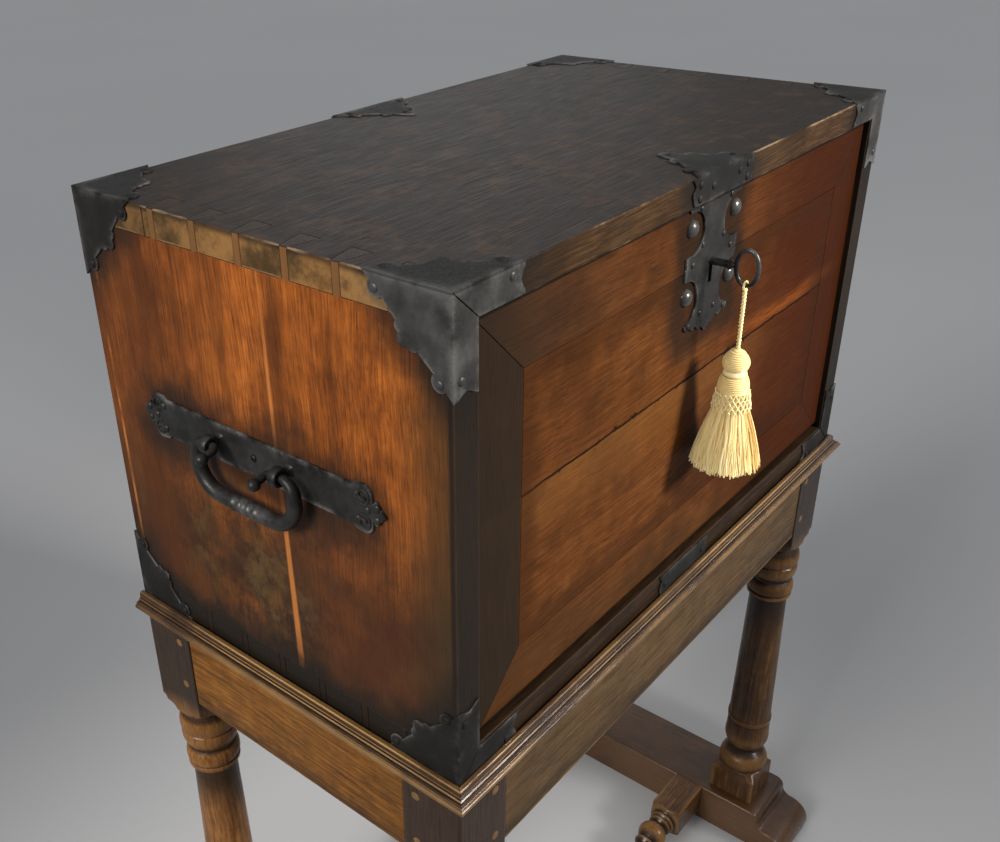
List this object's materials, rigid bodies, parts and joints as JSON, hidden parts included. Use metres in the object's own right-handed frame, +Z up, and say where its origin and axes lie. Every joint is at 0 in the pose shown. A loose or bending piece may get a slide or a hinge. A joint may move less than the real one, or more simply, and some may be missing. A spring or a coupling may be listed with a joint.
{
  "type": "fall-front writing desk",
  "caption": "Iron-mounted oak and walnut chest with a hinged fall front, lock, key and tassel, on a turned stand with sledge feet; the fall opens to a writing flap.",
  "frame": {"origin": "on the floor, under the middle of the desk's outer size", "axes": "+Z up; -Y to the front, where the fall opens; +X to the right as the sitter faces the desk"},
  "size_m": [0.8776, 0.59, 1.1798],
  "materials": {
    "case_walnut": "waxed, figured walnut",
    "case_dark_walnut": "dark waxed walnut",
    "nest_walnut": "plain walnut",
    "stand_oak": "stained, polished oak",
    "forged_iron": "dark forged iron, worn bright on its edges",
    "tassel_thread": "silky cream-gold thread"
  },
  "bodies": {
    "frame": {"leg_front_left": "stand_oak", "leg_front_right": "stand_oak", "leg_back_left": "stand_oak", "leg_back_right": "stand_oak", "foot_left": "stand_oak", "foot_right": "stand_oak", "stretcher_front": "stand_oak", "stretcher_back": "stand_oak", "apron_front": "stand_oak", "apron_back": "stand_oak", "apron_left": "stand_oak", "apron_right": "stand_oak", "moulding_front": "stand_oak", "moulding_left": "stand_oak", "moulding_right": "stand_oak", "case_top": "case_dark_walnut", "case_bottom": "case_walnut", "case_side_left": "case_walnut", "case_side_right": "case_walnut", "case_back": "case_walnut", "corner_top_front_left": "forged_iron", "corner_top_front_right": "forged_iron", "corner_top_back_left": "forged_iron", "corner_top_back_right": "forged_iron", "corner_bottom_front_left": "forged_iron", "corner_bottom_front_right": "forged_iron", "corner_bottom_back_left": "forged_iron", "corner_bottom_back_right": "forged_iron", "strap_top_front": "forged_iron", "strap_top_back": "forged_iron", "strap_bottom_front": "forged_iron", "handle_plate_left": "forged_iron", "handle_plate_right": "forged_iron", "handle_eye_left_front": "forged_iron", "handle_eye_left_back": "forged_iron", "handle_eye_right_front": "forged_iron", "handle_eye_right_back": "forged_iron", "fall_pivot_left": "forged_iron", "fall_pivot_right": "forged_iron", "nest_shelf": "nest_walnut", "nest_divider_upper_1": "nest_walnut", "nest_divider_upper_2": "nest_walnut", "nest_divider_upper_3": "nest_walnut", "nest_divider_lower_1": "nest_walnut", "nest_divider_lower_2": "nest_walnut"},
    "fall": {"fall_stile_left": "case_dark_walnut", "fall_stile_right": "case_dark_walnut", "fall_rail_top": "case_dark_walnut", "fall_rail_bottom": "case_dark_walnut", "fall_board_lower": "case_walnut", "fall_board_upper": "case_walnut", "lock_plate": "forged_iron", "lock_case": "forged_iron"},
    "bolt": {"lock_bolt": "forged_iron"},
    "key": {"key": "forged_iron"},
    "tassel": {"tassel_cord": "tassel_thread", "tassel_head": "tassel_thread", "tassel_skirt": "tassel_thread"},
    "bail_left": {"handle_bail_left": "forged_iron"},
    "bail_right": {"handle_bail_right": "forged_iron"}
  },
  "joints": [
    {"name": "fall_hinge", "type": "hinge", "parent": "frame", "child": "fall", "pos_m": [0, -0.209, 0.7535], "axis": [1, 0, 0], "range_deg": [0, 90]},
    {"name": "bail_left_swing", "type": "hinge", "parent": "frame", "child": "bail_left", "pos_m": [-0.416, 0.005, 0.972], "axis": [0, 1, 0], "range_deg": [0, 120]},
    {"name": "bail_right_swing", "type": "hinge", "parent": "frame", "child": "bail_right", "pos_m": [0.416, 0.005, 0.972], "axis": [0, -1, 0], "range_deg": [0, 120]},
    {"name": "key_turn", "type": "hinge", "parent": "fall", "child": "key", "pos_m": [0, -0.2588, 1.0855], "axis": [0, 1, 0], "range_deg": [0, 180]},
    {"name": "bolt_slide", "type": "slide", "parent": "fall", "child": "bolt", "axis": [0, 0, 1], "range_m": [0, 0.012]},
    {"name": "tassel_swing", "type": "hinge", "parent": "fall", "child": "tassel", "pos_m": [0, -0.25709, 1.08111], "axis": [1, 0, 0], "range_deg": [-90, 0]}
  ],
  "couplings": [
    {"joint": "key_turn", "follows": "bolt_slide", "rad_per_m": 261.79},
    {"joint": "tassel_swing", "follows": "fall_hinge", "ratio": -1}
  ]
}
